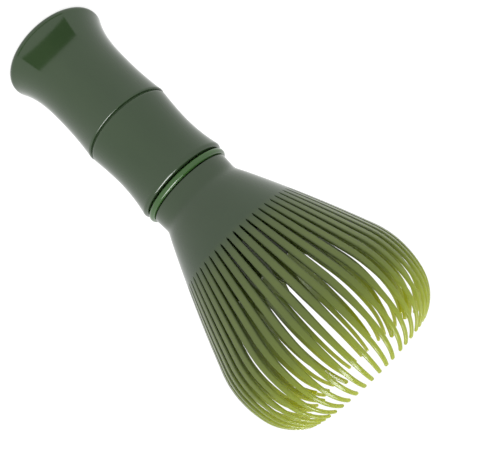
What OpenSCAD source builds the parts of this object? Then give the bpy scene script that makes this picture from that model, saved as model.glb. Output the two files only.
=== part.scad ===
// Tea whisk with a moulded, bamboo-shaped handle and two nested cups of springy tines.
// The whisk stands on the flared end of its handle: origin at the centre of that end, +Z towards
// the tine tips. Outlines are lists of [radius, height], in millimetres.

/* [Handle] */
// Largest radius of the flared end
flare_r = 15.2; // [14.8:0.1:15.8]
// Radius of the two waists
waist_r = 12.4; // [12.2:0.05:12.6]
// Radius at the bamboo node, just above its groove
node_r = 13.25; // [13:0.05:13.4]
// Radius of the lip where the handle meets the neck ring
lip_r = 13.55; // [13.3:0.05:13.8]
// Height of the groove between the two grip shells
node_z = 30.4; // [29:0.1:32]
// Height of the handle's top face
handle_len = 52.7; // [51.5:0.05:53.5]
// Radius of the bore that runs through both grip shells
grip_bore_r = 10.4; // [10:0.1:10.6]

/* [Neck] */
// Largest radius of the glossy neck ring
ring_r = 13.3; // [12.9:0.05:13.5]
// Height of the neck ring
ring_h = 1.65; // [1.4:0.05:2]
// Thickness of each silicone seal
seal_t = 0.35; // [0.3:0.05:0.5]
// Radius of the outer cup's spigot, on which the ring and the seals sit
spigot_r = 9; // [8.6:0.1:9.2]

/* [Outer tines] */
// Number of outer tines
outer_count = 56; // [48:4:60]
// Wall thickness of the outer cup
cup_wall = 1.2; // [1:0.1:1.3]
// Thickness of an outer tine at its tip
outer_tip_t = 0.7; // [0.5:0.05:0.9]
// Height at which the slits between the outer tines begin
outer_slit_z = 73.7; // [72:0.1:76]
// Width of a slit where it begins
outer_slit_w = 0.24; // [0.2:0.02:0.4]
// Widest an outer tine gets, on the straight of the bell
outer_tine_w = 2; // [1.8:0.05:2.3]
// Width of an outer tine at its tip
outer_tip_w = 1; // [0.8:0.05:1.3]

/* [Inner tines] */
// Number of inner tines
inner_count = 14; // [12:2:18]
// Thickness of the inner cup and its tines
inner_wall = 1; // [0.8:0.05:1.1]
// Height at which the slits between the inner tines begin
inner_slit_z = 86; // [82:0.5:88]
// Width of an inner tine where it begins
inner_root_w = 6; // [5:0.25:6.5]
// Width of an inner tine at its squared end
inner_tip_w = 0.85; // [0.7:0.05:1.2]

/* [Screw] */
// Radius of the stem over its thread
stem_r = 3.85; // [3.6:0.05:4]
// Thread pitch
pitch = 3; // [2.5:0.25:3.5]
// Length of the thread
thread_len = 12; // [9:1:14]

/* [Hidden] */
$fn = 96;

fit = 0.05;                                   // gap round a part that is pressed or bonded in
slip = 0.3;                                   // gap round a part that slides or turns
rim_round = 1.1;                              // rounding of the flared end
rim_turn = 28;                                // how far the rounding runs past the widest place
flare_power = 3;                              // how late the flare opens out
cap_seat_r = 13.1;                            // radius of the end cap's seat
cap_seat_h = 2.6;
cap_recess = 0.4;                             // how far the cap lies inside the rim
joint_h = 5;                                  // how far the core reaches into each grip shell
waist_z = [17.5, 41];                         // heights of the two waists
ring_z = handle_len + seal_t;
collar_z = ring_z + ring_h + seal_t;          // underside of the outer cup's collar
collar_r = 12.4;
inner_base_r = 10.2;                          // foot of the inner cup
floor_z = collar_z + 2.5;                     // top of the outer cup's floor
head_t = 1.55;                                // thickness of the stem's round head
stem_z = 38;                                  // foot of the stem
inner_turn = -5;                              // how the inner slits are turned from the outer ones
slit_from_r = 14;
slit_reach = 18;                              // takes each cut past the cups' widest place

handle_green = "#53654c";
ring_green = "#4d7038";
seal_green = "#13200f";
tine_green = "#6b7d4b";

// ---- outlines -------------------------------------------------------------------------------

// Curve from radius r0 at height z0 to radius r1 at z1, level at z1 and steeper towards z0
function sweep_in(z0, r0, z1, r1, power, steps) =
    [for (i = [0:steps]) let (u = 1 - i / steps)
        [r1 + (r0 - r1) * pow(u, power), z1 + (z0 - z1) * u]];

function backwards(list) = [for (i = [len(list) - 1:-1:0]) list[i]];

// Quarter round about [cr, cz] of radius rad, from angle a0 to a1 measured from outwards to up
function round_edge(cr, cz, rad, a0, a1, steps = 5) =
    [for (i = [0:steps]) let (a = a0 + (a1 - a0) * i / steps) [cr + rad * cos(a), cz + rad * sin(a)]];

// Follows arcs of [length, turn] from a start of [radius, height, heading], where the heading is
// the lean outwards from straight up, and gives [radius, height, heading] at each step
function walk(arcs, at, i = 0, j = 0) =
    i == len(arcs) ? [at] :
    let (steps = max(2, ceil(abs(arcs[i][1]) / 9)),
         lean = at[2] + arcs[i][1] / steps / 2,
         step = arcs[i][0] / steps,
         next = [at[0] + step * sin(lean), at[1] + step * cos(lean), at[2] + arcs[i][1] / steps],
         last = j + 1 == steps)
    concat([at], walk(arcs, next, last ? i + 1 : i, last ? 0 : j + 1));

// The walk's points moved inwards, by t0 where it starts and t1 where it ends
function inset(path, t0, t1) =
    [for (i = [0:len(path) - 1]) let (t = t0 + (t1 - t0) * i / (len(path) - 1), p = path[i])
        [p[0] - t * cos(p[2]), p[1] + t * sin(p[2])]];

function above(points, z) = [for (p = points) if (p[1] > z) [p[0], p[1]]];

// Collar, fillet into the bell, the bell, its shoulder, and the two stretches of the tines' curl
outer_path = walk([[3.6, 0], [1.9, 31], [3, -3.5], [35, -4.7], [8.6, -19.8], [7, -14], [12, -50]],
                  [collar_r, collar_z, -3]);
inner_path = walk([[0.8, 0], [1.8, 21], [34, -4], [10, -17], [15.3, -45]],
                  [inner_base_r, floor_z + head_t, 0]);

// ---- handle ---------------------------------------------------------------------------------

module upper_grip() {
    rim = round_edge(flare_r - rim_round, rim_round, rim_round, -90, rim_turn, 7);
    top = rim[len(rim) - 1];
    color(handle_green) rotate_extrude() polygon(concat(
        [[cap_seat_r, 0]], rim,
        sweep_in(top[1], top[0], waist_z[0], waist_r, flare_power, 12),
        backwards(sweep_in(node_z - 0.25, node_r, waist_z[0], waist_r, 2, 8)),
        [[node_r - 0.4, node_z], [grip_bore_r, node_z], [grip_bore_r, 12],
         [cap_seat_r - 0.8, cap_seat_h], [cap_seat_r, cap_seat_h]]));
}

module end_cap() {
    r = cap_seat_r - fit;
    dish = 0.5;
    color(handle_green) rotate_extrude() polygon([
        [0, cap_recess + dish], [r - 4, cap_recess + dish], [r - 2.5, cap_recess + 0.1],
        [r - 1.5, cap_recess], [r - 0.3, cap_recess], [r, cap_recess + 0.3], [r, cap_seat_h],
        [0, cap_seat_h]]);
}

module lower_grip() {
    lip = round_edge(lip_r - 1, handle_len - 1, 1, 8, 90);
    color(handle_green) rotate_extrude() polygon(concat(
        [[grip_bore_r, node_z], [node_r - 0.75, node_z], [node_r - 0.2, node_z + 0.6]],
        sweep_in(node_z + 1, node_r - 0.2, waist_z[1], waist_r, 1.7, 8),
        backwards(sweep_in(handle_len - 1.2, lip_r, waist_z[1], waist_r, 2, 8)),
        lip, [[grip_bore_r, handle_len]]));
}

// Joins the two grip shells at the node and carries the thread for the stem
module threaded_core() {
    r = grip_bore_r - fit;
    tube_r = 6.4;
    bore_r = stem_r + slip;
    pocket_r = spigot_r + slip;
    pocket_z = handle_len - 1.6;
    plug_z = node_z - joint_h;
    plug_top = node_z + joint_h;
    color(handle_green) difference() {
        rotate_extrude() polygon([
            [0, plug_z], [r - 0.6, plug_z], [r, plug_z + 0.6], [r, plug_top], [r - 1.5, plug_top],
            [tube_r, plug_top + 0.8], [tube_r, handle_len - 5], [r - 1.5, handle_len - 4.2],
            [r, handle_len - 4.2], [r, handle_len], [0, handle_len]]);
        translate([0, 0, stem_z - 1]) cylinder(r = bore_r, h = handle_len);
        translate([0, 0, pocket_z]) cylinder(r = pocket_r, h = handle_len);
    }
}

// ---- neck -----------------------------------------------------------------------------------

module neck_ring() {
    edge = 0.75;
    color(ring_green) rotate_extrude() polygon(concat(
        [[spigot_r + fit, ring_z]],
        round_edge(ring_r - edge, ring_z + edge, edge, -90, -10),
        round_edge(ring_r - edge, ring_z + ring_h - edge, edge, 10, 90),
        [[spigot_r + fit, ring_z + ring_h]]));
}

// Two flat seals, one on each side of the ring
module seal_rings() {
    color(seal_green) for (z = [handle_len, ring_z + ring_h])
        translate([0, 0, z]) difference() {
            cylinder(r = 11.8, h = seal_t);
            translate([0, 0, -1]) cylinder(r = spigot_r + fit, h = seal_t + 2);
        }
}

// ---- tines ----------------------------------------------------------------------------------

// Radius of a path where it passes height z
function radius_at(path, z) = lookup(z, [for (p = path) [p[1], p[0]]]);

// Half the gap between two of count tines, w wide, at height z
function half_gap(path, count, z, w) = (2 * PI * radius_at(path, z) / count - w) / 2;

// Cuts between the tines. levels are [height, tine width] from the slits' start upwards. The cuts
// start inside the cup's wall, far enough from the axis to stay clear of each other.
module slits(path, count, start_w, levels, turn = 0) {
    half = [for (v = levels) [max(start_w / 2, half_gap(path, count, v[0], v[1])), v[0]]];
    top = [half[len(half) - 1][0], levels[len(levels) - 1][0] + 10];
    side = concat(half, [top]);
    mirrored = [for (p = backwards(side)) [-p[0], p[1]]];
    for (k = [0:count - 1])
        rotate([0, 0, k * 360 / count + turn]) translate([slit_from_r, 0, 0]) rotate([90, 0, 90])
            linear_extrude(height = slit_reach) polygon(concat(side, mirrored));
}

// Outer cup: collar with a spigot below it, a bell, and tines that curl in at their tips
module outer_tines() {
    hole_r = stem_r + slip;
    inner = inset(outer_path, cup_wall, outer_tip_t);
    foot_z = handle_len - 1.3;
    belly_z = outer_slit_z + 22;
    tip_z = outer_path[len(outer_path) - 1][1];
    widest = outer_tine_w;
    root_w = 2 * PI * radius_at(outer_path, outer_slit_z) / outer_count - outer_slit_w;
    color(tine_green) difference() {
        rotate_extrude() polygon(concat(
            [for (p = outer_path) [p[0], p[1]]], backwards(above(inner, floor_z)),
            [[collar_r - cup_wall - 0.15, floor_z], [hole_r, floor_z], [hole_r, foot_z],
             [spigot_r, foot_z], [spigot_r, collar_z]]));
        slits(outer_path, outer_count, outer_slit_w, [
            [outer_slit_z, root_w],
            [outer_slit_z + 8, root_w + (widest - root_w) * 0.4],
            [outer_slit_z + 16, root_w + (widest - root_w) * 0.88],
            [belly_z, widest],
            [belly_z + 5, widest - (widest - outer_tip_w) * 0.2],
            [belly_z + 10, widest - (widest - outer_tip_w) * 0.5],
            [belly_z + 16, widest - (widest - outer_tip_w) * 0.75],
            [tip_z, outer_tip_w]]);
    }
}

// Inner cup: a shorter ring of fewer tines with squared ends, standing on the stem's head
module inner_tines() {
    base_z = floor_z + head_t;
    inner = inset(inner_path, inner_wall, inner_wall * 0.8);
    tip_z = inner_path[len(inner_path) - 1][1];
    color(tine_green) difference() {
        rotate_extrude() polygon(concat(
            [[0, base_z]], [for (p = inner_path) [p[0], p[1]]],
            backwards(above(inner, base_z + 1.8)),
            [[inner_base_r - inner_wall - 0.1, base_z + 1.8], [0, base_z + 1.8]]));
        slits(inner_path, inner_count, 1, [
            [inner_slit_z, inner_root_w],
            [inner_slit_z + 7, inner_tip_w + (inner_root_w - inner_tip_w) * 0.26],
            [inner_slit_z + 17, inner_tip_w + (inner_root_w - inner_tip_w) * 0.07],
            [tip_z, inner_tip_w]], inner_turn);
    }
}

// Stem: round head under the inner cup, plain shank, and a round right-hand thread below it
module stem_screw() {
    offset_r = 0.4;
    core_r = stem_r - offset_r;
    thread_top = stem_z + thread_len;
    color(tine_green) {
        translate([0, 0, floor_z]) cylinder(r = 8, h = head_t);
        translate([0, 0, thread_top]) cylinder(r = stem_r - 0.05, h = floor_z - thread_top);
        translate([0, 0, stem_z])
            linear_extrude(height = thread_len, twist = -360 * thread_len / pitch,
                           slices = round(12 * thread_len / pitch), $fn = 16)
                translate([offset_r, 0]) circle(r = core_r, $fn = 16);
    }
}

upper_grip();
end_cap();
lower_grip();
threaded_core();
neck_ring();
seal_rings();
outer_tines();
inner_tines();
stem_screw();
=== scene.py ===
"""Moulded plastic tea whisk: the visible pieces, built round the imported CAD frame."""
import math
import random
from collections import namedtuple
from dataclasses import dataclass

import bmesh
import bpy
from mathutils import Matrix, Vector


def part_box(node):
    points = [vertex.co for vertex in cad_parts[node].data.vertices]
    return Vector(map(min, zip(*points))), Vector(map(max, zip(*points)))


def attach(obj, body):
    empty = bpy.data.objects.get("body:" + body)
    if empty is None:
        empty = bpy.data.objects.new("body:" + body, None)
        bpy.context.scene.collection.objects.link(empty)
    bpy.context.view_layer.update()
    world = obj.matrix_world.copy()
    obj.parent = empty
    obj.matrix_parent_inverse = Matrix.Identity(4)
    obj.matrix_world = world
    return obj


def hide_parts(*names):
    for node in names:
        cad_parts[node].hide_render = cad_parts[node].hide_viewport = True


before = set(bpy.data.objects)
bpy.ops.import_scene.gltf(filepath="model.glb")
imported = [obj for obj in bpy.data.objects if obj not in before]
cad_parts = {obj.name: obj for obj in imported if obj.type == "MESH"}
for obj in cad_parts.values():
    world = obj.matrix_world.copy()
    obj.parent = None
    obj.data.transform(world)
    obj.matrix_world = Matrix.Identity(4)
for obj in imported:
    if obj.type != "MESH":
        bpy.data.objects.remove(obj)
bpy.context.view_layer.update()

MM = 0.001
TURN = 2 * math.pi


# ---- sizes, in metres -------------------------------------------------------------------------

def low(node):
    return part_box(node)[0].z


def high(node):
    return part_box(node)[1].z


def reach(node):
    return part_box(node)[1].x


# Measured on the frame
LENGTH = high("outer_tines")
NODE_Z = high("upper_grip")
HANDLE_Z = high("lower_grip")
FLARE_R = reach("upper_grip")
LIP_R = reach("lower_grip")
RING_LOW = low("neck_ring")
RING_HIGH = high("neck_ring")
RING_R = reach("neck_ring")
SEAL_R = reach("seal_rings")
SEAL_T = RING_LOW - HANDLE_Z
COLLAR_Z = RING_HIGH + SEAL_T
SPIGOT_Z = low("outer_tines")
INNER_Z = low("inner_tines")
STEM_Z = low("stem_screw")

# Sizes that a node's box doesn't show
FIT = 0.05 * MM                 # gap round a part that is pressed or bonded in
SLIP = 0.3 * MM                 # gap round a part that turns
WAIST_R = 12.4 * MM
WAIST_Z = (17.5 * MM, 41 * MM)
NODE_R = 13.25 * MM
RIM_ROUND = 1.1 * MM            # rounding of the flared end
RIM_TURN = 28                   # how far it runs past the widest place, in degrees
FLARE_POWER = 3                 # how late the flare opens out
BORE_R = 10.45 * MM
BORE_Z = 12 * MM                # where the bore starts
CAP_SEAT_R = 13.1 * MM
CAP_SEAT_Z = 2.6 * MM
COLLAR_R = 12.4 * MM
SPIGOT_R = 9 * MM
FLOOR_Z = COLLAR_Z + 2.5 * MM   # top of the outer cup's floor
STEM_R = 3.85 * MM
HEAD_R = 8 * MM                 # the stem's round head
PITCH = 3 * MM
THREAD_LENGTH = 12 * MM

OUTER_COUNT = 56
INNER_COUNT = 14
INNER_TURN = math.radians(-5)   # how the inner slits are turned from the outer ones
OUTER_SLIT_Z = 73.7 * MM
INNER_SLIT_Z = 86 * MM


# ---- outlines: lists of (radius, height) ------------------------------------------------------

def arc(cr, cz, rad, a0, a1, steps):
    """Points round (cr, cz) from angle a0 to a1 in degrees, measured from outwards to up."""
    out = []
    for i in range(steps + 1):
        a = math.radians(a0 + (a1 - a0) * i / steps)
        out.append((cr + rad * math.cos(a), cz + rad * math.sin(a)))
    return out


def sweep_in(z0, r0, z1, r1, power, steps):
    """Curve from radius r0 at z0 to r1 at z1, level at z1."""
    out = []
    for i in range(steps + 1):
        u = 1 - i / steps
        out.append((r1 + (r0 - r1) * u ** power, z1 + (z0 - z1) * u))
    return out


def soften(points, radius):
    """A closed outline with each corner of 25 degrees or more rounded, by radius or less."""
    least_bend = math.radians(25)
    steps = 4
    most = 0.45                 # of a side that one rounding may take
    out = []
    for i in range(len(points)):
        a, p, b = (Vector(points[j % len(points)]) for j in (i - 1, i, i + 1))
        before = a - p
        after = b - p
        bend = math.pi - before.angle(after)
        if bend < least_bend:
            out.append(tuple(p))
            continue
        cut = min(radius * math.tan(bend / 2), before.length * most, after.length * most)
        start = p + before.normalized() * cut
        end = p + after.normalized() * cut
        for k in range(steps + 1):
            t = k / steps
            out.append(tuple(start * (1 - t) ** 2 + p * 2 * t * (1 - t) + end * t ** 2))
    return out


# lean is the angle outwards from straight up, in radians, and gone the distance along the path
Place = namedtuple("Place", "r z lean gone")


def walk(arcs, r, z, lean, spacing):
    """Places along arcs of (length, turn in degrees), at most spacing apart.

    The path starts at a radius, a height and a lean in degrees."""
    lean = math.radians(lean)
    gone = 0.0
    out = [Place(r, z, lean, gone)]
    for length, turn in arcs:
        steps = max(3, math.ceil(length / spacing))
        for _ in range(steps):
            middle = lean + math.radians(turn) / steps / 2
            r += length / steps * math.sin(middle)
            z += length / steps * math.cos(middle)
            lean += math.radians(turn) / steps
            gone += length / steps
            out.append(Place(r, z, lean, gone))
    return out


def between(value, table):
    """The value at a place, on straight lines between (place, value) pairs in rising order."""
    if value <= table[0][0]:
        return table[0][1]
    for (x0, y0), (x1, y1) in zip(table, table[1:]):
        if value <= x1:
            t = (value - x0) / (x1 - x0)
            return y0 + (y1 - y0) * t
    return table[-1][1]


# ---- mesh helpers -----------------------------------------------------------------------------

SHARP_ANGLE = math.radians(38)


def add_object(name, data):
    thing = bpy.data.objects.new(name, data)
    bpy.context.scene.collection.objects.link(thing)
    return thing


def make_mesh(name, bm, material):
    mesh = bpy.data.meshes.new(name)
    bm.to_mesh(mesh)
    bm.free()
    mesh.materials.append(material)
    return mesh


def finish_piece(name, bm, body, node, material):
    """Turns a bmesh into a piece that rides on its body and stands for its CAD node."""
    bmesh.ops.recalc_face_normals(bm, faces=bm.faces)
    mesh = make_mesh(name, bm, material)
    mesh.shade_smooth()
    mesh.set_sharp_from_angle(angle=SHARP_ANGLE)
    piece = add_object(name, mesh)
    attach(piece, body)
    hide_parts(node)


def ring_point(r, z, angle):
    return (r * math.cos(angle), r * math.sin(angle), z)


def add_ring(bm, r, z, sides):
    return [bm.verts.new(ring_point(r, z, TURN * k / sides)) for k in range(sides)]


def bridge_rings(bm, a, b):
    """Faces between two closed rings, either of which may be a single point on the axis."""
    sides = max(len(a), len(b))
    for k in range(sides):
        n = (k + 1) % sides
        if len(a) == 1:
            bm.faces.new((a[0], b[k], b[n]))
        elif len(b) == 1:
            bm.faces.new((a[k], a[n], b[0]))
        else:
            bm.faces.new((a[k], a[n], b[n], b[k]))


def bridge_rows(bm, *pairs):
    """Faces between the two open rows of each pair."""
    for c in range(len(pairs[0][0]) - 1):
        for a, b in pairs:
            bm.faces.new((a[c], a[c + 1], b[c + 1], b[c]))


def add_lathe(bm, outline, sides=240):
    """Revolves an outline about Z, closed unless it ends on the axis."""
    rings = []
    for r, z in outline:
        on_axis = r < 1e-7
        rings.append([bm.verts.new((0, 0, z))] if on_axis else add_ring(bm, r, z, sides))
    pairs = list(zip(rings, rings[1:]))
    if len(rings[0]) > 1 and len(rings[-1]) > 1:
        pairs.append((rings[-1], rings[0]))
    for a, b in pairs:
        bridge_rings(bm, a, b)


# ---- materials --------------------------------------------------------------------------------

def new_material(name):
    """An empty node material, with the functions that add a node to it and join two sockets."""
    material = bpy.data.materials.new(name)
    material.use_nodes = True
    tree = material.node_tree
    tree.nodes.clear()

    def make(kind, **values):
        node = tree.nodes.new(kind)
        for key, value in values.items():
            if key in node.inputs:
                node.inputs[key].default_value = value
            else:
                setattr(node, key, value)
        return node

    return material, make, tree.links.new


def ramp(make, stops):
    node = make("ShaderNodeValToRGB")
    ends = node.color_ramp.elements
    while len(ends) < len(stops):
        ends.new(0.5)
    for element, (place, colour) in zip(ends, stops):
        element.position = place
        element.color = (*colour, 1)
    return node


def maths(make, join, operation, *values):
    """The result of a Math node, whose values are sockets or numbers."""
    node = make("ShaderNodeMath", operation=operation)
    for socket, value in zip(node.inputs, values):
        if isinstance(value, (int, float)):
            socket.default_value = value
        else:
            join(value, socket)
    return node.outputs[0]


def colour_mix(make, join, share, base, colour):
    """A socket's colour mixed towards a fixed one."""
    node = make("ShaderNodeMix", data_type="RGBA")
    factor, a, b = node.inputs[0], node.inputs[6], node.inputs[7]
    join(share, factor)
    join(base, a)
    b.default_value = (*colour, 1)
    return node.outputs[2]


def plastic_nodes(name, dark, light, roughness, grain):
    """Moulded plastic: faint flow marks in the colour, uneven gloss and a very fine skin."""
    material, make, join = new_material(name)
    place = make("ShaderNodeTexCoord").outputs["Object"]
    stretch = make("ShaderNodeMapping", Scale=(1, 1, 0.35))
    join(place, stretch.inputs["Vector"])
    flow = make("ShaderNodeTexNoise", Scale=55, Detail=3, Roughness=0.55)
    join(stretch.outputs["Vector"], flow.inputs["Vector"])
    colours = ramp(make, [(0.3, dark), (0.7, light)])
    join(flow.outputs["Fac"], colours.inputs["Fac"])
    smudge = make("ShaderNodeTexNoise", Scale=140, Detail=4, Roughness=0.6)
    join(place, smudge.inputs["Vector"])
    gloss = make("ShaderNodeMapRange")
    gloss.inputs["To Min"].default_value = roughness * 0.8
    gloss.inputs["To Max"].default_value = roughness * 1.25
    join(smudge.outputs["Fac"], gloss.inputs["Value"])
    skin = make("ShaderNodeTexNoise", Scale=900, Detail=2)
    join(place, skin.inputs["Vector"])
    bump = make("ShaderNodeBump", Strength=grain, Distance=0.2 * MM)
    join(skin.outputs["Fac"], bump.inputs["Height"])
    shader = make("ShaderNodeBsdfPrincipled", IOR=1.5)
    join(colours.outputs["Color"], shader.inputs["Base Color"])
    join(gloss.outputs["Result"], shader.inputs["Roughness"])
    join(bump.outputs["Normal"], shader.inputs["Normal"])
    output = make("ShaderNodeOutputMaterial")
    join(shader.outputs["BSDF"], output.inputs["Surface"])
    return material, make, join, place, shader, output


def plastic(name, dark, light, roughness, grain=0.012):
    return plastic_nodes(name, dark, light, roughness, grain)[0]


def painted_slit_shade(make, join, xyz, count, turn):
    """0 along the middle of each of count tines, rising to 1 beside the slits: the mask of the
    painted shade there.
    """
    angle = maths(make, join, "ARCTAN2", xyz.outputs["Y"], xyz.outputs["X"])
    pitches = maths(make, join, "MULTIPLY_ADD", angle, count / TURN, -turn * count / TURN)
    across = maths(make, join, "FRACT", pitches)
    aside = maths(make, join, "ABSOLUTE", maths(make, join, "SUBTRACT", across, 0.5))
    shade = make("ShaderNodeMapRange", interpolation_type="SMOOTHSTEP")
    shade.inputs["From Min"].default_value = 0.14
    shade.inputs["From Max"].default_value = 0.42
    join(aside, shade.inputs["Value"])
    return shade.outputs["Result"]


# How a tine changes as it gets thinner towards its tip. height is the share of the way from
# LEVELS_Z to the tips, pale how far the colour goes to its lighter one, a painted glow of the light
# that passes through, through how much light comes through, and edge how dark the painted shade
# on the sides beside the slits is.
TineLevel = namedtuple("TineLevel", "height pale through edge")
TINE_LEVELS = [
    TineLevel(height=0.0, pale=0, through=0, edge=0),
    TineLevel(height=0.22, pale=0, through=0, edge=0),
    TineLevel(height=0.3, pale=0.08, through=0.03, edge=0.4),
    TineLevel(height=0.5, pale=0.15, through=0.08, edge=0.72),
    TineLevel(height=0.62, pale=0.17, through=0.15, edge=0.72),
    TineLevel(height=0.74, pale=0.24, through=0.3, edge=0.6),
    TineLevel(height=0.84, pale=0.42, through=0.46, edge=0.25),
    TineLevel(height=1.0, pale=0.7, through=0.56, edge=0),
]
LEVELS_Z = 60 * MM
TINE_DARK = (0.026, 0.047, 0.02)
TINE_LIGHT = (0.032, 0.054, 0.024)
# Colour of the painted shade on the sides beside the slits
TINE_PAINTED_SHADE = (0.006, 0.014, 0.002)


def tine_plastic(name, painted_glow_colour, glow_low, glow_high, count, turn):
    """The same plastic where it gets thinner: a colour painted lighter towards the tips, a painted
    glow that stands in for light passing through, light that really comes through, more towards the
    tips, and painted shade on the sides beside the slits.
    """
    material, make, join, place, shader, output = plastic_nodes(
        name, TINE_DARK, TINE_LIGHT, roughness=0.14, grain=0.012)
    xyz = make("ShaderNodeSeparateXYZ")
    join(place, xyz.inputs["Vector"])
    height = make("ShaderNodeMapRange")
    height.inputs["From Min"].default_value = LEVELS_Z
    height.inputs["From Max"].default_value = LENGTH
    join(xyz.outputs["Z"], height.inputs["Value"])

    def by_height(stops):
        node = ramp(make, stops)
        join(height.outputs["Result"], node.inputs["Fac"])
        return node.outputs["Color"]

    def level(field):
        return by_height([(row.height, (getattr(row, field),) * 3) for row in TINE_LEVELS])

    moulded = shader.inputs["Base Color"].links[0].from_socket
    # Painted glow: the colour goes lighter towards the tips, standing in for light passing through
    # the plastic
    painted_glow = colour_mix(make, join, level("pale"), moulded, painted_glow_colour)
    # Painted shade: the sides of each tine beside the slits are darkened, most at mid height
    edge = maths(make, join, "MULTIPLY", painted_slit_shade(make, join, xyz, count, turn), level("edge"))
    join(colour_mix(make, join, edge, painted_glow, TINE_PAINTED_SHADE), shader.inputs["Base Color"])
    through = make("ShaderNodeBsdfTranslucent")
    join(by_height([(0.25, glow_low), (1.0, glow_high)]), through.inputs["Color"])
    mix = make("ShaderNodeMixShader")
    join(level("through"), mix.inputs["Fac"])
    join(shader.outputs["BSDF"], mix.inputs[1])
    join(through.outputs["BSDF"], mix.inputs[2])
    join(mix.outputs["Shader"], output.inputs["Surface"])
    return material


handle_look = plastic(
    "handle_green", dark=(0.022, 0.044, 0.0165), light=(0.029, 0.053, 0.021), roughness=0.1)
core_look = plastic(
    "core_green", dark=(0.03, 0.05, 0.02), light=(0.04, 0.062, 0.027), roughness=0.35, grain=0.05)
ring_look = plastic(
    "ring_green", dark=(0.028, 0.082, 0.015), light=(0.034, 0.095, 0.019), roughness=0.07)
seal_look = plastic(
    "seal_green", dark=(0.002, 0.006, 0.001), light=(0.004, 0.01, 0.002), roughness=0.55, grain=0.08)
outer_look = tine_plastic(
    "outer_tine_green", painted_glow_colour=(0.46, 0.56, 0.03), glow_low=(0.5, 0.68, 0.02),
    glow_high=(0.92, 0.92, 0.42), count=OUTER_COUNT, turn=0)
inner_look = tine_plastic(
    "inner_tine_green", painted_glow_colour=(0.4, 0.46, 0.02), glow_low=(0.6, 0.72, 0.02),
    glow_high=(0.9, 0.9, 0.12), count=INNER_COUNT, turn=INNER_TURN)


# ---- handle -----------------------------------------------------------------------------------

def build_upper_grip():
    ledge = 0.8 * MM            # on which the end cap sits
    edge_r = 0.4 * MM
    rim = arc(FLARE_R - RIM_ROUND, RIM_ROUND, RIM_ROUND, -90, RIM_TURN, steps=18)
    top_r, top_z = rim[-1]
    flare = sweep_in(top_z, top_r, WAIST_Z[0], WAIST_R, FLARE_POWER, steps=60)
    rise = sweep_in(NODE_Z - edge_r, NODE_R, WAIST_Z[0], WAIST_R, power=2, steps=40)[::-1]
    edge = arc(NODE_R - edge_r, NODE_Z - edge_r, edge_r, 5, 90, steps=8)
    inside = [(BORE_R, NODE_Z), (BORE_R, BORE_Z), (CAP_SEAT_R - ledge, CAP_SEAT_Z),
              (CAP_SEAT_R, CAP_SEAT_Z), (CAP_SEAT_R, 0)]
    bm = bmesh.new()
    add_lathe(bm, rim + flare[1:] + rise[1:] + edge + inside)
    finish_piece("upper_grip_shell", bm, "handle", "upper_grip", handle_look)


def build_end_cap():
    """Slightly dished disc, with the small round mark of the mould's gate in the middle."""
    r = CAP_SEAT_R - FIT
    edge_r = 0.3 * MM
    recess = 0.4 * MM
    dish_z = recess + 0.5 * MM
    outline = [(0, CAP_SEAT_Z), (r, CAP_SEAT_Z), (r, recess + edge_r)]
    outline += arc(r - edge_r, recess + edge_r, edge_r, 0, -90, steps=6)[1:]
    outline += [(r - 1.5 * MM, recess), (r - 2.5 * MM, recess + 0.1 * MM), (r - 4 * MM, dish_z)]
    gate = [(1.6 * MM, 0), (1.45 * MM, 0.15 * MM), (0.6 * MM, 0.15 * MM), (0.5 * MM, -0.05 * MM),
            (0, -0.1 * MM)]
    outline += [(gate_r, dish_z + rise) for gate_r, rise in gate]
    bm = bmesh.new()
    add_lathe(bm, outline, sides=160)
    finish_piece("end_cap_disc", bm, "handle", "end_cap", handle_look)


def build_lower_grip():
    chamfer_r = 0.65 * MM
    lip_round = 1 * MM
    groove = [(BORE_R, NODE_Z), (NODE_R - 0.6 * MM, NODE_Z),
              (NODE_R - 0.55 * MM, NODE_Z + 0.25 * MM)]
    chamfer = arc(NODE_R - 0.2 * MM - chamfer_r, NODE_Z + 0.95 * MM, chamfer_r, -60, 5, steps=8)
    fall = sweep_in(NODE_Z + 1.1 * MM, NODE_R - 0.2 * MM, WAIST_Z[1], WAIST_R, power=1.7, steps=40)
    rise = sweep_in(HANDLE_Z - 1.1 * MM, LIP_R, WAIST_Z[1], WAIST_R, power=2, steps=40)[::-1]
    lip = arc(LIP_R - lip_round, HANDLE_Z - lip_round, lip_round, 6, 90, steps=14)
    bm = bmesh.new()
    add_lathe(bm, groove + chamfer + fall + rise[1:] + lip + [(BORE_R, HANDLE_Z)])
    finish_piece("lower_grip_shell", bm, "handle", "lower_grip", handle_look)


# ---- neck -------------------------------------------------------------------------------------

def build_ring():
    r_in = SPIGOT_R + FIT
    edge_r = 0.78 * MM
    crown = arc(RING_R - edge_r, RING_LOW + edge_r, edge_r, -90, -8, steps=10)
    crown += arc(RING_R - edge_r, RING_HIGH - edge_r, edge_r, 8, 90, steps=10)
    bm = bmesh.new()
    add_lathe(bm, [(r_in, RING_LOW)] + crown + [(r_in, RING_HIGH)])
    finish_piece("glossy_neck_ring", bm, "outer_head", "neck_ring", ring_look)


def build_seals():
    """Two flat silicone seals with rounded rims."""
    r_in = SPIGOT_R + FIT
    half = SEAL_T / 2
    bm = bmesh.new()
    for z in (HANDLE_Z + half, RING_HIGH + half):
        rim = arc(SEAL_R - half, z, half, -90, 90, steps=8)
        add_lathe(bm, [(r_in, z - half)] + rim + [(r_in, z + half)])
    finish_piece("silicone_seals", bm, "outer_head", "seal_rings", seal_look)


# ---- tines ------------------------------------------------------------------------------------

# Where a tine's columns of points lie across its width, closer together towards its edges
ACROSS = (0, 0.34, 0.6, 0.76, 0.88, 0.96, 1)
COLUMNS = [-a for a in ACROSS[:0:-1]] + list(ACROSS)
SIDE_SHARES = (1 / 3, 2 / 3)    # where the two points of a tine's side lie, from outside to inside

Section = namedtuple("Section", "outer right inner left")


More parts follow.
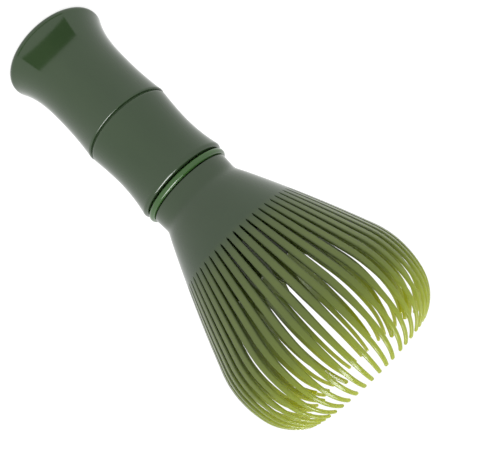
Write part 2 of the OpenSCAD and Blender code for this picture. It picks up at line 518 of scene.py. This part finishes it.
@dataclass
class Cup:
    """What sets one cup of tines apart from the other."""
    count: int
    turn: float                 # how its slits are turned about the axis
    slit_z: float
    slit_w: float               # width of a slit soon after it begins
    path: list                  # Places up the outside of the wall and along a tine
    foot: list                  # outline from inside the wall, round the bottom, back outside
    thicks: list                # (share of the path, thickness of the wall or tine)
    widths: list                # (height, width of a tine)
    roundings: list             # (share of a tine's length, rounding of its edges)
    strays: tuple               # the most that a tip strays inwards, sideways and along
    end_length: float           # of the rounded end past the path
    end_share: float            # of its width and thickness that a tine still has at its end

    def thick(self, place):
        return between(place.gone / self.path[-1].gone, self.thicks)

    def inset(self, place):
        """The point inside the wall, across from a place outside it."""
        thick = self.thick(place)
        return place.r - thick * math.cos(place.lean), place.z + thick * math.sin(place.lean)


def corner_depth(across, half, rounding):
    """How deep the rounded face lies at a share across of its half width."""
    edge = (1 - abs(across)) * half
    if rounding <= 0 or edge >= rounding:
        return 0.0
    return rounding - math.sqrt(max(0.0, rounding ** 2 - (rounding - edge) ** 2))


def add_section(bm, place, centre, half, thick, rounding, shrink, shift):
    """Adds a tine's cross-section at a place, turned to the angle centre.

    shift is how far the tine has strayed there: outwards, and round the axis in radians."""
    out = Vector((math.cos(place.lean), -math.sin(place.lean)))
    angle = centre + shift[1]
    middle = thick / 2

    def add_point(across, depth):
        depth = middle + (depth - middle) * shrink
        r = place.r + shift[0] - out.x * depth
        z = place.z - out.y * depth
        aside = across * half * shrink
        x = r * math.cos(angle) - aside * math.sin(angle)
        y = r * math.sin(angle) + aside * math.cos(angle)
        return bm.verts.new((x, y, z))

    sides = [rounding + (thick - 2 * rounding) * t for t in SIDE_SHARES]
    outer = [add_point(a, corner_depth(a, half, rounding)) for a in COLUMNS]
    right = [add_point(1, depth) for depth in sides]
    inner = [add_point(a, thick - corner_depth(a, half, rounding)) for a in COLUMNS]
    left = [add_point(-1, depth) for depth in sides]
    return Section(outer, right, inner, left)


def join_sections(bm, a, b):
    bridge_rows(bm, (a.outer, b.outer))
    bridge_rows(bm, (a.inner, b.inner))
    for side, column in (("right", -1), ("left", 0)):
        line_a, line_b = ([s.outer[column], *getattr(s, side), s.inner[column]] for s in (a, b))
        bridge_rows(bm, (line_a, line_b))


def add_blade(bm, cup, blade, centre, stray, root):
    """One tine, from the section at its root to its rounded end."""
    slit_opens = 0.3 * MM       # the length over which a slit reaches its width
    edge_rounds = 1.2 * MM      # the length over which the edges reach their rounding
    sector = TURN / cup.count
    previous = root
    for place in blade[1:]:
        gone = place.gone - blade[0].gone
        share = gone / (blade[-1].gone - blade[0].gone)
        thick = cup.thick(place)
        opening = cup.slit_w * math.sqrt(min(1, gone / slit_opens))
        half = min(place.r * sector - opening, between(place.z, cup.widths)) / 2
        rounding = min(between(share, cup.roundings), thick * 0.46, half * 0.9)
        rounding *= min(1, gone / edge_rounds)
        shift = (-abs(stray[0]) * share ** 2, stray[1] * share ** 2 / place.r)
        current = add_section(bm, place, centre, half, thick, rounding, 1.0, shift)
        join_sections(bm, previous, current)
        previous = current
    for q in (0.35, 0.65, 0.86, 1.0):
        shrink = cup.end_share + (1 - cup.end_share) * math.sqrt(1 - q * q)
        ahead = (cup.end_length + stray[2]) * q
        end = Place(place.r + ahead * math.sin(place.lean), place.z + ahead * math.cos(place.lean),
                    place.lean, place.gone + ahead)
        current = add_section(bm, end, centre, half, thick, rounding, shrink, shift)
        join_sections(bm, previous, current)
        previous = current
    bridge_rows(bm, (previous.outer, previous.inner))
    for side, column in ((previous.right, -1), (previous.left, 0)):
        bm.faces.new((previous.outer[column], *side, previous.inner[column]))


def add_tine_cup(bm, cup):
    """A cup whose wall is cut into tines above slit_z, built one pitch at a time."""
    start = next(i for i, place in enumerate(cup.path) if place.z > cup.slit_z)
    wall = cup.path[:start]
    blade = cup.path[start:]
    sector = TURN / cup.count
    outside = cup.foot + [(place.r, place.z) for place in wall]
    inside = [point for point in map(cup.inset, wall) if point[1] > cup.foot[0][1]]
    random.seed(7)
    for k in range(cup.count):
        centre = cup.turn + (k + 0.5) * sector
        stray = [random.uniform(-1, 1) * most for most in cup.strays]

        def add_row(r, z, columns=COLUMNS):
            return [bm.verts.new(ring_point(r, z, centre + a * sector / 2)) for a in columns]

        rows_out = [add_row(r, z) for r, z in outside]
        rows_in = [add_row(r, z) for r, z in inside]
        for rows in (rows_out, rows_in):
            for a, b in zip(rows, rows[1:]):
                bridge_rows(bm, (a, b))
        bridge_rows(bm, (rows_out[0], rows_in[0]))
        root = blade[0]
        r_in, z_in = cup.inset(root)
        outer = add_row(root.r, root.z)
        inner = add_row(r_in, z_in)
        right, left = ([add_row(root.r + (r_in - root.r) * t, root.z + (z_in - root.z) * t, [edge])[0]
                        for t in SIDE_SHARES] for edge in (1, -1))
        bridge_rows(bm, (rows_out[-1], outer), (rows_in[-1], inner))
        add_blade(bm, cup, blade, centre, stray, Section(outer, right, inner, left))
    bmesh.ops.remove_doubles(bm, verts=bm.verts, dist=1e-6)


def shorten(path, cut):
    """The path without the last stretch, which the rounded ends of the tines take up."""
    return [place for place in path if place.gone <= path[-1].gone - cut]


def build_outer_tines():
    wall = 1.2 * MM
    hole = STEM_R + SLIP
    end_length = 0.35 * MM
    arcs = [(3.6 * MM, 0), (1.9 * MM, 31), (3 * MM, -3.5), (35 * MM, -4.7), (8.6 * MM, -19.8),
            (7 * MM, -14), (12 * MM, -50)]
    foot = [(COLLAR_R - wall - 0.15 * MM, FLOOR_Z), (hole, FLOOR_Z), (hole, SPIGOT_Z),
            (SPIGOT_R, SPIGOT_Z), (SPIGOT_R, COLLAR_Z), (COLLAR_R - 0.1 * MM, COLLAR_Z)]
    bm = bmesh.new()
    add_tine_cup(bm, Cup(
        count=OUTER_COUNT, turn=0.0, slit_z=OUTER_SLIT_Z, slit_w=0.24 * MM,
        path=shorten(walk(arcs, COLLAR_R, COLLAR_Z, -3, spacing=0.7 * MM), end_length),
        foot=soften(foot, 0.25 * MM),
        thicks=[(0, wall), (1, 0.7 * MM)],
        widths=[(OUTER_SLIT_Z, 1.66 * MM), (82 * MM, 1.84 * MM), (90 * MM, 2.0 * MM),
                (96 * MM, 2.0 * MM), (101 * MM, 1.8 * MM), (106 * MM, 1.5 * MM),
                (112 * MM, 1.25 * MM), (120 * MM, 1.0 * MM)],
        roundings=[(0, 0.18 * MM), (0.5, 0.36 * MM), (1, 0.32 * MM)],
        strays=(0.15 * MM, 0.25 * MM, 0.08 * MM), end_length=end_length, end_share=0.5))
    finish_piece("outer_tine_cup", bm, "outer_head", "outer_tines", outer_look)


def build_inner_tines():
    base_r = 10.2 * MM
    wall = 1.0 * MM
    top = INNER_Z + 1.8 * MM
    pinhole = 0.06 * MM         # the floor stops short of the axis, where its points would merge
    end_length = 0.2 * MM
    arcs = [(0.8 * MM, 0), (1.8 * MM, 21), (34 * MM, -4), (10 * MM, -17), (15.3 * MM, -45)]
    bm = bmesh.new()
    add_tine_cup(bm, Cup(
        count=INNER_COUNT, turn=INNER_TURN, slit_z=INNER_SLIT_Z, slit_w=1.0 * MM,
        path=shorten(walk(arcs, base_r, INNER_Z, 0, spacing=0.8 * MM), end_length),
        foot=[(base_r - wall - 0.1 * MM, top), (pinhole, top), (pinhole, INNER_Z),
              (base_r - 0.1 * MM, INNER_Z)],
        thicks=[(0, wall), (1, 0.8 * wall)],
        widths=[(INNER_SLIT_Z, 6 * MM), (INNER_SLIT_Z + 7 * MM, 2.2 * MM),
                (INNER_SLIT_Z + 17 * MM, 1.2 * MM), (118 * MM, 0.85 * MM)],
        roundings=[(0, 0.22 * MM), (1, 0.22 * MM)],
        strays=(0.4 * MM, 0.6 * MM, 0.2 * MM), end_length=end_length, end_share=0.7))
    finish_piece("inner_tine_cup", bm, "inner_head", "inner_tines", inner_look)


# ---- stem -------------------------------------------------------------------------------------

def build_stem():
    """Round head, shank and a rounded right-hand thread, which fades out at both ends."""
    sides = 72
    rows = 120
    depth = 0.75 * MM
    fade_length = 1 * MM
    run_out = 0.7 * MM          # from the thread's end to the shank
    edge = 0.2 * MM
    crest_r = STEM_R - 0.05 * MM
    shank_r = STEM_R - 0.1 * MM
    thread_top = STEM_Z + THREAD_LENGTH
    bm = bmesh.new()
    rings = []
    for i in range(rows + 1):
        z = STEM_Z + (thread_top - STEM_Z) * i / rows
        fade = max(0.0, min(1, (z - STEM_Z) / fade_length, (thread_top - z) / fade_length))
        ring = []
        for k in range(sides):
            phase = (z / PITCH - k / sides) % 1
            crest = (0.5 + 0.5 * math.cos(TURN * phase)) ** 0.7
            r = crest_r - depth * (1 - crest * fade)
            ring.append(bm.verts.new(ring_point(r, z, TURN * k / sides)))
        rings.append(ring)
    shank = [(shank_r, thread_top + run_out), (shank_r, FLOOR_Z), (HEAD_R - edge, FLOOR_Z),
             (HEAD_R, FLOOR_Z + edge), (HEAD_R, INNER_Z - edge), (HEAD_R - edge, INNER_Z)]
    rings += [add_ring(bm, r, z, sides) for r, z in shank]
    for a, b in zip(rings, rings[1:]):
        bridge_rings(bm, a, b)
    bm.faces.new(rings[0][::-1])
    bm.faces.new(rings[-1])
    finish_piece("threaded_stem", bm, "inner_head", "stem_screw", core_look)


build_upper_grip()
build_end_cap()
build_lower_grip()
build_ring()
build_seals()
build_outer_tines()
build_inner_tines()
build_stem()
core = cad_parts["threaded_core"]
core.data.materials.clear()
core.data.materials.append(core_look)


# ---- stage ------------------------------------------------------------------------------------

TENT_WHITE = 1.06               # strength of the white all round


def stage_material(name, shade, glow=0.0):
    """Matt and faintly uneven. shade is its grey, and glow the light that it gives off."""
    material, make, join = new_material(name)
    noise = make("ShaderNodeTexNoise", Scale=6, Detail=4)
    join(make("ShaderNodeTexCoord").outputs["Object"], noise.inputs["Vector"])
    shades = ramp(make, [(0.2, (shade * 0.985,) * 3), (0.8, (shade,) * 3)])
    join(noise.outputs["Fac"], shades.inputs["Fac"])
    shader = make("ShaderNodeBsdfPrincipled", Roughness=0.9)
    shader.inputs["Specular IOR Level"].default_value = 0
    shader.inputs["Emission Strength"].default_value = glow
    shader.inputs["Emission Color"].default_value = (1, 1, 1, 1)
    join(shades.outputs["Color"], shader.inputs["Base Color"])
    output = make("ShaderNodeOutputMaterial")
    join(shader.outputs["BSDF"], output.inputs["Surface"])
    return material


def build_floor():
    """A disc that gives off some light, so that it reads white right up to the horizon."""
    bm = bmesh.new()
    bmesh.ops.create_circle(bm, cap_ends=True, segments=96, radius=6)
    floor = add_object("floor", make_mesh("floor", bm, stage_material("pale_floor", 0.3, 0.8)))
    floor.visible_glossy = False


def build_card(name, outline, az0, az1, material):
    """A curved card round the whisk, along an outline of (radius, height). Only reflections show it.

    Azimuths are in degrees from the front, positive to the right."""
    steps = 24
    front = -90
    bm = bmesh.new()
    rows = []
    for i in range(steps + 1):
        a = math.radians(front + az0 + (az1 - az0) * i / steps)
        rows.append([bm.verts.new(ring_point(r, z, a)) for r, z in outline])
    for a, b in zip(rows, rows[1:]):
        bm.faces.new((a[0], b[0], b[1], a[1]))
    card = add_object(name, make_mesh(name, bm, material))
    card.visible_camera = False
    card.visible_diffuse = False
    card.visible_shadow = False
    card.visible_transmission = False


def build_cards():
    """A dark card close in front of the flared end, and a white one above it that hides it from
    the bell."""
    far = 63 * MM
    bottom = -2.5 * MM
    top = 11.5 * MM
    cover_z = top + 0.2 * MM
    build_card("dark_card", [(far, bottom), (far, top)], -55, 53,
               stage_material("dark_cloth", 0.004))
    build_card("white_card", [(33 * MM, cover_z), (far + 5 * MM, cover_z)], -90, 100,
               stage_material("white_cloth", 0.02, TENT_WHITE))


def build_softbox(name, azimuth, width, height, power):
    """A rectangular light high up, aimed at the top of the handle.

    The azimuth is in degrees from the front, positive to the right."""
    distance = 0.9
    elevation = math.radians(64)
    target = Vector((0, 0, 50 * MM))
    light = bpy.data.lights.new(name, "AREA")
    light.shape = "RECTANGLE"
    light.size = width
    light.size_y = height
    light.energy = power
    a = math.radians(azimuth)
    away = Vector((math.sin(a) * math.cos(elevation), -math.cos(a) * math.cos(elevation),
                   math.sin(elevation)))
    lamp = add_object(name, light)
    lamp.location = away * distance + target
    lamp.rotation_mode = "QUATERNION"
    lamp.rotation_quaternion = away.to_track_quat("Z", "Y")
    return lamp


build_floor()
build_cards()
build_softbox("overhead_softbox", azimuth=48, width=0.5, height=0.25, power=4)
edge_softbox = build_softbox("edge_softbox", azimuth=50, width=0.8, height=0.5, power=10)
edge_softbox.visible_diffuse = False    # it only adds highlights

world = bpy.data.worlds.new("light_tent")
bpy.context.scene.world = world
world.use_nodes = True
sky = world.node_tree.nodes["Background"]
sky.inputs["Color"].default_value = (1, 1, 1, 1)
sky.inputs["Strength"].default_value = TENT_WHITE
bpy.context.scene.view_settings.view_transform = "Standard"


# ---- camera -----------------------------------------------------------------------------------

def build_camera(eye, aim, roll, focal_length):
    """A camera at eye that looks at aim, rolled by an angle in radians."""
    forward = (aim - eye).normalized()
    level_right = forward.cross(Vector((0, 0, 1))).normalized()
    level_up = level_right.cross(forward)
    right = level_right * math.cos(roll) + level_up * math.sin(roll)
    up = level_up * math.cos(roll) - level_right * math.sin(roll)
    lens = bpy.data.cameras.new("camera")
    lens.lens = focal_length
    lens.sensor_width = 36
    lens.clip_start = 0.01
    camera = add_object("camera", lens)
    placed = Matrix((right, up, -forward)).transposed().to_4x4()
    placed.translation = eye
    camera.matrix_world = placed
    bpy.context.scene.camera = camera


build_camera(eye=Vector((0, -1.3551, 0.805)) * LENGTH, aim=Vector((-0.018, 0, 0.6232)) * LENGTH,
             roll=2.3617, focal_length=45.42)
